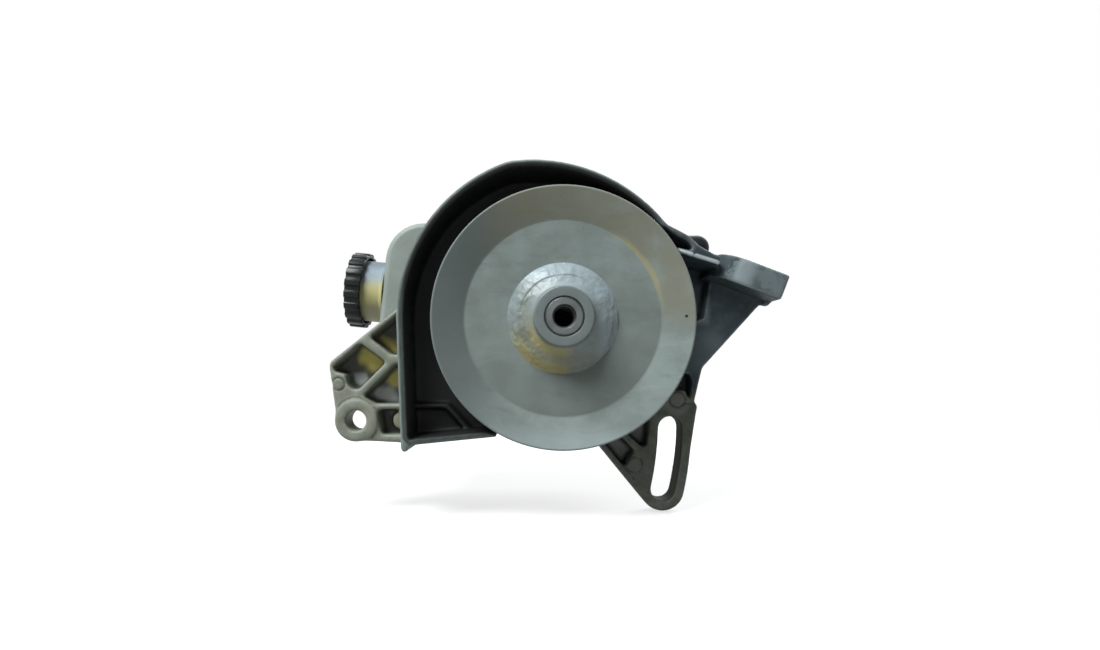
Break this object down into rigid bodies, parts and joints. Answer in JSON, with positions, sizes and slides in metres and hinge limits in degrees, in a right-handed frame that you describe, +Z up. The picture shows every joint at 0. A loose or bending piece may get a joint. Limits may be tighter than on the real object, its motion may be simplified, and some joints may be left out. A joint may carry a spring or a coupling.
{
  "type": "power steering pump",
  "caption": "Vane-type power steering pump with a pressed V-belt pulley, cast guard bracket with slotted adjusting arm, and a sheet-steel fluid reservoir with a ribbed filler cap.",
  "frame": {"origin": "on the shaft axis, in the middle plane of the belt groove", "axes": "-Y along the shaft towards the free end of its nose, +Z up, +X to the right seen from the pulley side"},
  "size_m": [0.2412, 0.139, 0.1835],
  "materials": {
    "cast_aluminium": "die-cast, satin",
    "pulley_paint": "satin silver paint",
    "hub_steel": "turned and welded",
    "turned_steel": "turned",
    "ground_steel": "ground",
    "dark_steel": "dark phosphate",
    "housing_iron": "as cast",
    "bush_bronze": "bored bronze",
    "seal_rubber": "matt",
    "reservoir_paint": "satin paint",
    "neck_steel": "bright plated",
    "cap_plastic": "glossy moulded",
    "plug_plastic": "soft moulded"
  },
  "bodies": {
    "pump": {"bracket": "cast_aluminium", "pump_housing": "housing_iron", "shaft_bush": "bush_bronze", "shaft_seal": "seal_rubber", "thrust_plate": "ground_steel", "cam_ring": "ground_steel", "pressure_plate": "ground_steel", "dowel_pins": "ground_steel", "pressure_spring": "dark_steel", "end_plate": "ground_steel", "end_plate_oring": "seal_rubber", "end_plate_ring": "dark_steel", "flow_valve_spring": "dark_steel", "outlet_union": "turned_steel", "union_oring": "seal_rubber", "reservoir_shell": "reservoir_paint", "reservoir_rear_cover": "reservoir_paint", "reservoir_oring": "seal_rubber", "filler_neck": "neck_steel", "return_pipe": "turned_steel", "mounting_bolts": "dark_steel", "bolt_washers": "dark_steel"},
    "pulley_and_rotor": {"pulley_front_disc": "pulley_paint", "pulley_rear_disc": "pulley_paint", "pulley_hub": "hub_steel", "hub_weld": "hub_steel", "drive_shaft": "turned_steel", "rotor": "ground_steel", "rotor_clip": "dark_steel"},
    "cap_and_dipstick": {"filler_cap": "cap_plastic", "cap_gasket": "seal_rubber", "dipstick": "turned_steel"},
    "relief_valve": {"flow_valve": "ground_steel"},
    "pipe_plug": {"return_pipe_cap": "plug_plastic"},
    "vane_01": {"vane_01": "ground_steel"},
    "vane_02": {"vane_02": "ground_steel"},
    "vane_03": {"vane_03": "ground_steel"},
    "vane_04": {"vane_04": "ground_steel"},
    "vane_05": {"vane_05": "ground_steel"},
    "vane_06": {"vane_06": "ground_steel"},
    "vane_07": {"vane_07": "ground_steel"},
    "vane_08": {"vane_08": "ground_steel"},
    "vane_09": {"vane_09": "ground_steel"},
    "vane_10": {"vane_10": "ground_steel"}
  },
  "joints": [
    {"name": "shaft_spin", "type": "hinge", "parent": "pump", "child": "pulley_and_rotor", "pos_m": [0, 0, 0], "axis": [0, -1, 0], "continuous": true},
    {"name": "cap_turn", "type": "hinge", "parent": "pump", "child": "cap_and_dipstick", "pos_m": [-0.101, 0.054, 0.0198], "axis": [-0.9952, 0, 0.0976], "range_deg": [0, 90]},
    {"name": "flow_valve_slide", "type": "slide", "parent": "pump", "child": "relief_valve", "axis": [0, -1, 0], "range_m": [0, 0.008], "stiffness_N_per_m": 1500, "springref_m": -0.002, "deforming": ["flow_valve_spring"]},
    {"name": "return_cap_pull", "type": "slide", "parent": "pump", "child": "pipe_plug", "axis": [1, 0, 0], "range_m": [0, 0.02]},
    {"name": "vane_01_slide", "type": "slide", "parent": "pulley_and_rotor", "child": "vane_01", "axis": [1, 0, 0], "range_m": [-0.0012, 0]},
    {"name": "vane_02_slide", "type": "slide", "parent": "pulley_and_rotor", "child": "vane_02", "axis": [0.809, 0, -0.5878], "range_m": [-0.0012, 0]},
    {"name": "vane_03_slide", "type": "slide", "parent": "pulley_and_rotor", "child": "vane_03", "axis": [0.309, 0, -0.9511], "range_m": [-0.0012, 0]},
    {"name": "vane_04_slide", "type": "slide", "parent": "pulley_and_rotor", "child": "vane_04", "axis": [-0.309, 0, -0.9511], "range_m": [-0.0012, 0]},
    {"name": "vane_05_slide", "type": "slide", "parent": "pulley_and_rotor", "child": "vane_05", "axis": [-0.809, 0, -0.5878], "range_m": [-0.0012, 0]},
    {"name": "vane_06_slide", "type": "slide", "parent": "pulley_and_rotor", "child": "vane_06", "axis": [-1, 0, 0], "range_m": [-0.0012, 0]},
    {"name": "vane_07_slide", "type": "slide", "parent": "pulley_and_rotor", "child": "vane_07", "axis": [-0.809, 0, 0.5878], "range_m": [-0.0012, 0]},
    {"name": "vane_08_slide", "type": "slide", "parent": "pulley_and_rotor", "child": "vane_08", "axis": [-0.309, 0, 0.9511], "range_m": [-0.0012, 0]},
    {"name": "vane_09_slide", "type": "slide", "parent": "pulley_and_rotor", "child": "vane_09", "axis": [0.309, 0, 0.9511], "range_m": [-0.0012, 0]},
    {"name": "vane_10_slide", "type": "slide", "parent": "pulley_and_rotor", "child": "vane_10", "axis": [0.809, 0, 0.5878], "range_m": [-0.0012, 0]}
  ]
}
